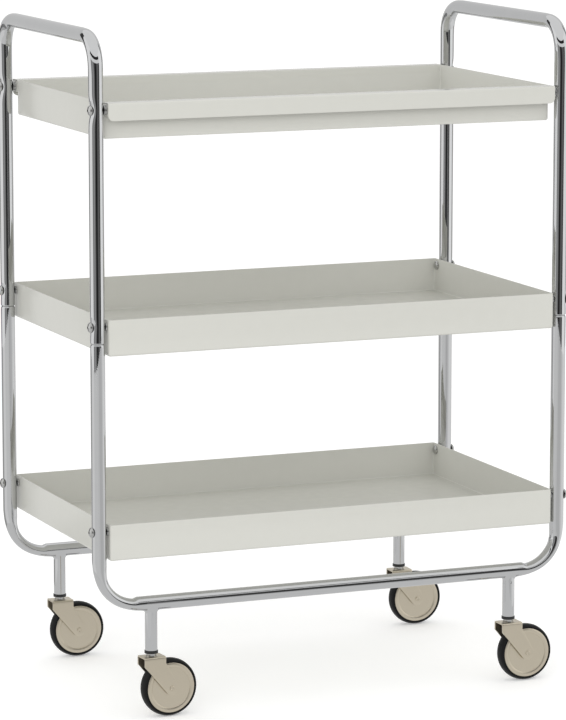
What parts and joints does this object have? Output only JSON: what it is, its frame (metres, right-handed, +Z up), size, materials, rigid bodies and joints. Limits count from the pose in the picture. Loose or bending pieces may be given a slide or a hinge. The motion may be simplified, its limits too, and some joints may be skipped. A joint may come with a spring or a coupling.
{
  "type": "serving cart",
  "caption": "Open tray cart: pressed trays bolted between bent tube frames with a push bar at each end, rolling on swivel casters.",
  "frame": {"origin": "on the floor, under the middle of the cart", "axes": "+Z up, +X along the length of the trays, +Y across them to the rear"},
  "size_m": [0.6756, 0.3819, 0.8865],
  "materials": {
    "chrome_tube": "polished",
    "inner_steel": "plain",
    "tray_paint": "semi-gloss powder coat",
    "bright_fixings": "bright plated",
    "black_plastic": "satin",
    "satin_metal": "satin nickel plate",
    "wheel_plastic": "moulded",
    "tyre": "smooth rubber"
  },
  "bodies": {
    "frame": {"front_lower_frame": "chrome_tube", "rear_lower_frame": "chrome_tube", "left_handle": "chrome_tube", "right_handle": "chrome_tube", "joint_sleeves": "inner_steel", "top_tray": "tray_paint", "top_tray_bolts": "bright_fixings", "top_tray_cap_nuts": "bright_fixings", "top_tray_spacers": "bright_fixings", "middle_tray": "tray_paint", "middle_tray_bolts": "bright_fixings", "middle_tray_cap_nuts": "bright_fixings", "middle_tray_spacers": "bright_fixings", "bottom_tray": "tray_paint", "bottom_tray_bolts": "bright_fixings", "bottom_tray_cap_nuts": "bright_fixings", "bottom_tray_spacers": "bright_fixings", "front_left_leg": "chrome_tube", "front_left_leg_bush": "black_plastic", "front_left_stem": "bright_fixings", "front_right_leg": "chrome_tube", "front_right_leg_bush": "black_plastic", "front_right_stem": "bright_fixings", "rear_left_leg": "chrome_tube", "rear_left_leg_bush": "black_plastic", "rear_left_stem": "bright_fixings", "rear_right_leg": "chrome_tube", "rear_right_leg_bush": "black_plastic", "rear_right_stem": "bright_fixings"},
    "front_left_caster": {"front_left_swivel_race": "bright_fixings", "front_left_fork": "satin_metal", "front_left_axle": "satin_metal"},
    "front_left_wheel": {"front_left_wheel_bushing": "inner_steel", "front_left_wheel_core": "wheel_plastic", "front_left_side_discs": "satin_metal", "front_left_tyre": "tyre"},
    "front_right_caster": {"front_right_swivel_race": "bright_fixings", "front_right_fork": "satin_metal", "front_right_axle": "satin_metal"},
    "front_right_wheel": {"front_right_wheel_bushing": "inner_steel", "front_right_wheel_core": "wheel_plastic", "front_right_side_discs": "satin_metal", "front_right_tyre": "tyre"},
    "rear_left_caster": {"rear_left_swivel_race": "bright_fixings", "rear_left_fork": "satin_metal", "rear_left_axle": "satin_metal"},
    "rear_left_wheel": {"rear_left_wheel_bushing": "inner_steel", "rear_left_wheel_core": "wheel_plastic", "rear_left_side_discs": "satin_metal", "rear_left_tyre": "tyre"},
    "rear_right_caster": {"rear_right_swivel_race": "bright_fixings", "rear_right_fork": "satin_metal", "rear_right_axle": "satin_metal"},
    "rear_right_wheel": {"rear_right_wheel_bushing": "inner_steel", "rear_right_wheel_core": "wheel_plastic", "rear_right_side_discs": "satin_metal", "rear_right_tyre": "tyre"}
  },
  "joints": [
    {"name": "front_left_swivel", "type": "hinge", "parent": "frame", "child": "front_left_caster", "pos_m": [-0.254, -0.178, 0.081], "axis": [0, 0, 1], "continuous": true},
    {"name": "front_left_roll", "type": "hinge", "parent": "front_left_caster", "child": "front_left_wheel", "pos_m": [-0.23006, -0.17633, 0.038], "axis": [-0.0698, 0.9976, 0], "continuous": true},
    {"name": "front_right_swivel", "type": "hinge", "parent": "frame", "child": "front_right_caster", "pos_m": [0.254, -0.178, 0.081], "axis": [0, 0, 1], "continuous": true},
    {"name": "front_right_roll", "type": "hinge", "parent": "front_right_caster", "child": "front_right_wheel", "pos_m": [0.278, -0.17758, 0.038], "axis": [-0.0175, 0.9998, 0], "continuous": true},
    {"name": "rear_left_swivel", "type": "hinge", "parent": "frame", "child": "rear_left_caster", "pos_m": [-0.254, 0.178, 0.081], "axis": [0, 0, 1], "continuous": true},
    {"name": "rear_left_roll", "type": "hinge", "parent": "rear_left_caster", "child": "rear_left_wheel", "pos_m": [-0.23, 0.178, 0.038], "axis": [0, 1, 0], "continuous": true},
    {"name": "rear_right_swivel", "type": "hinge", "parent": "frame", "child": "rear_right_caster", "pos_m": [0.254, 0.178, 0.081], "axis": [0, 0, 1], "continuous": true},
    {"name": "rear_right_roll", "type": "hinge", "parent": "rear_right_caster", "child": "rear_right_wheel", "pos_m": [0.27799, 0.17716, 0.038], "axis": [0.0349, 0.9994, 0], "continuous": true}
  ]
}
